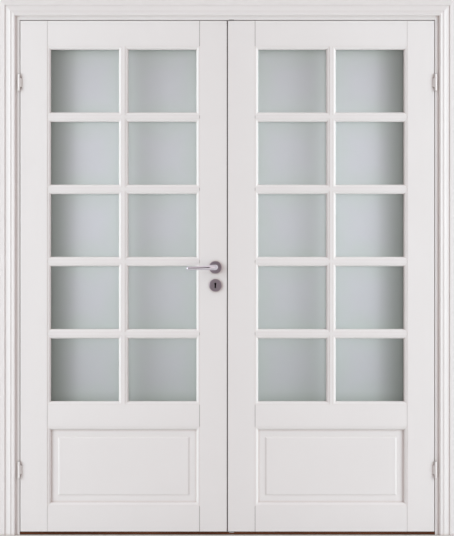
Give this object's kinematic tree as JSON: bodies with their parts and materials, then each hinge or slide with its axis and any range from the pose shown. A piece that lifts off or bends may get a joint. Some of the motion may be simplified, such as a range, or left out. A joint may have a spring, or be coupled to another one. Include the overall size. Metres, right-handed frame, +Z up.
{
  "type": "french doors",
  "caption": "Pair of white glazed doors with raised bottom panels, hung in a rebated frame with moulded casing; one leaf has a lever lock, the other bolts top and bottom.",
  "frame": {"origin": "centre of the doorway on the floor, at the middle of the leaves' thickness", "axes": "+X along the width, +Y from the casing side to the back, +Z up"},
  "size_m": [1.831, 0.15, 2.142],
  "materials": {
    "white_paint": "satin white paint on wood",
    "hinge_white": "white enamel",
    "frosted_glass": "satin frosted",
    "satin_metal": "satin",
    "rose_metal": "satin",
    "lock_steel": "plain",
    "seal_rubber": "matte",
    "threshold_wood": "oiled hardwood",
    "bare_wood": "bare",
    "sleeve_plastic": "matte"
  },
  "bodies": {
    "frame": {"left_jamb": "white_paint", "right_jamb": "white_paint", "head_jamb": "white_paint", "threshold": "threshold_wood", "left_casing": "white_paint", "right_casing": "white_paint", "head_casing": "white_paint", "frame_seals": "seal_rubber", "bolt_keepers": "lock_steel", "fixing_sleeves": "sleeve_plastic", "left_upper_hinge_frame_half": "hinge_white", "left_lower_hinge_frame_half": "hinge_white", "right_upper_hinge_frame_half": "hinge_white", "right_lower_hinge_frame_half": "hinge_white", "hinge_pins": "hinge_white"},
    "active_leaf": {"active_hinge_stile": "white_paint", "active_lock_stile": "white_paint", "active_top_rail": "white_paint", "active_mid_rail": "white_paint", "active_bottom_rail": "white_paint", "active_dowels": "bare_wood", "active_cross_bars": "white_paint", "active_upright_bars": "white_paint", "active_glass": "frosted_glass", "active_beads": "white_paint", "active_panel": "white_paint", "left_upper_hinge_leaf_half": "hinge_white", "left_lower_hinge_leaf_half": "hinge_white", "lock_case": "lock_steel", "lock_faceplate": "satin_metal", "front_lever_rose": "rose_metal", "back_lever_rose": "rose_metal", "front_key_rose": "rose_metal", "back_key_rose": "rose_metal"},
    "handle": {"front_lever": "satin_metal", "back_lever": "satin_metal", "spindle": "lock_steel", "lock_follower": "lock_steel"},
    "latch": {"latch_bolt": "lock_steel"},
    "lock_bolt": {"dead_bolt": "lock_steel"},
    "passive_leaf": {"passive_hinge_stile": "white_paint", "passive_meeting_stile": "white_paint", "passive_top_rail": "white_paint", "passive_mid_rail": "white_paint", "passive_bottom_rail": "white_paint", "passive_dowels": "bare_wood", "passive_cross_bars": "white_paint", "passive_upright_bars": "white_paint", "passive_glass": "frosted_glass", "passive_beads": "white_paint", "passive_panel": "white_paint", "right_upper_hinge_leaf_half": "hinge_white", "right_lower_hinge_leaf_half": "hinge_white", "strike_plate": "satin_metal", "flush_bolt_plates": "satin_metal", "meeting_seal": "seal_rubber"},
    "upper_bolt": {"upper_flush_bolt": "lock_steel"},
    "lower_bolt": {"lower_flush_bolt": "lock_steel"}
  },
  "joints": [
    {"name": "active_leaf_swing", "type": "hinge", "parent": "frame", "child": "active_leaf", "pos_m": [-0.8315, -0.027, 1.033], "axis": [0, 0, -1], "range_deg": [0, 165]},
    {"name": "passive_leaf_swing", "type": "hinge", "parent": "frame", "child": "passive_leaf", "pos_m": [0.8315, -0.027, 1.033], "axis": [0, 0, 1], "range_deg": [0, 165]},
    {"name": "lever_turn", "type": "hinge", "parent": "active_leaf", "child": "handle", "pos_m": [-0.048, 0, 1.068], "axis": [0, -1, 0], "range_deg": [0, 45], "stiffness_Nm_per_rad": 1.5, "springref_deg": -20.05},
    {"name": "latch_slide", "type": "slide", "parent": "active_leaf", "child": "latch", "axis": [1, 0, 0], "range_m": [0, 0.011]},
    {"name": "lock_bolt_slide", "type": "slide", "parent": "active_leaf", "child": "lock_bolt", "axis": [1, 0, 0], "range_m": [0, 0.014]},
    {"name": "upper_bolt_slide", "type": "slide", "parent": "passive_leaf", "child": "upper_bolt", "axis": [0, 0, 1], "range_m": [0, 0.012]},
    {"name": "lower_bolt_slide", "type": "slide", "parent": "passive_leaf", "child": "lower_bolt", "axis": [0, 0, -1], "range_m": [0, 0.012]}
  ]
}
